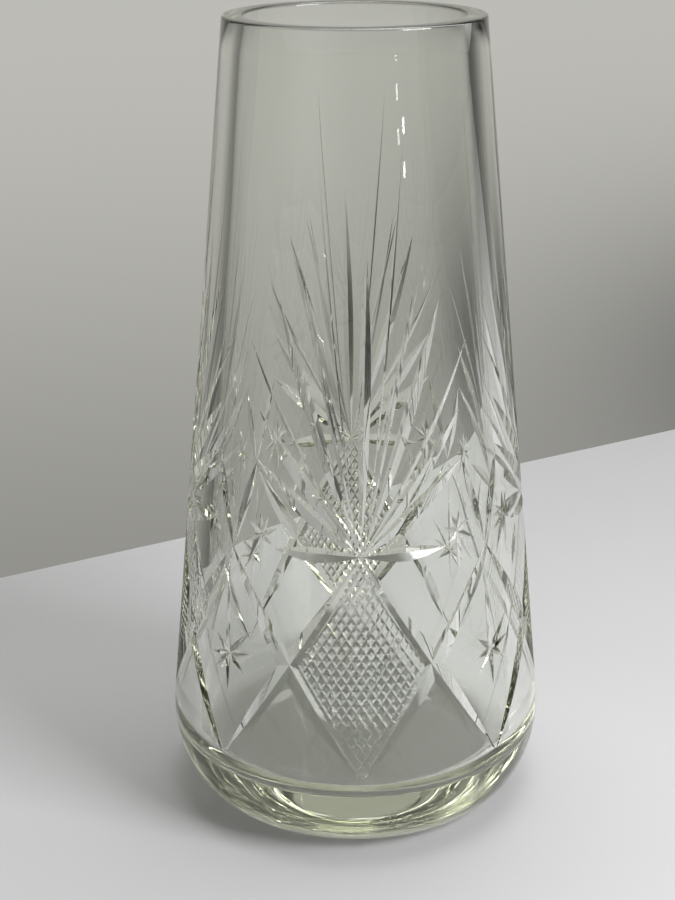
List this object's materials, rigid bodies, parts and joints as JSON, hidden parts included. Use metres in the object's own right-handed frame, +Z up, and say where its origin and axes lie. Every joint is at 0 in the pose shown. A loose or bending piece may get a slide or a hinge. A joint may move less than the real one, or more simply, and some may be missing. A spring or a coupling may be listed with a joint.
{
  "type": "cut crystal vase",
  "caption": "Tall tapered crystal vase with a thick base, mitre-cut stars, fans and cross-hatched diamonds.",
  "frame": {"origin": "centre of the flat foot, on the surface that the vase stands on", "axes": "+Z up along the vase's axis; the hub of one cut motif faces -Y, and the motif repeats every 90 degrees"},
  "size_m": [0.13, 0.13, 0.27],
  "materials": {
    "crystal": "clear polished lead crystal with polished mitre cuts"
  },
  "bodies": {
    "root": {"vase_body": "crystal"}
  },
  "joints": []
}
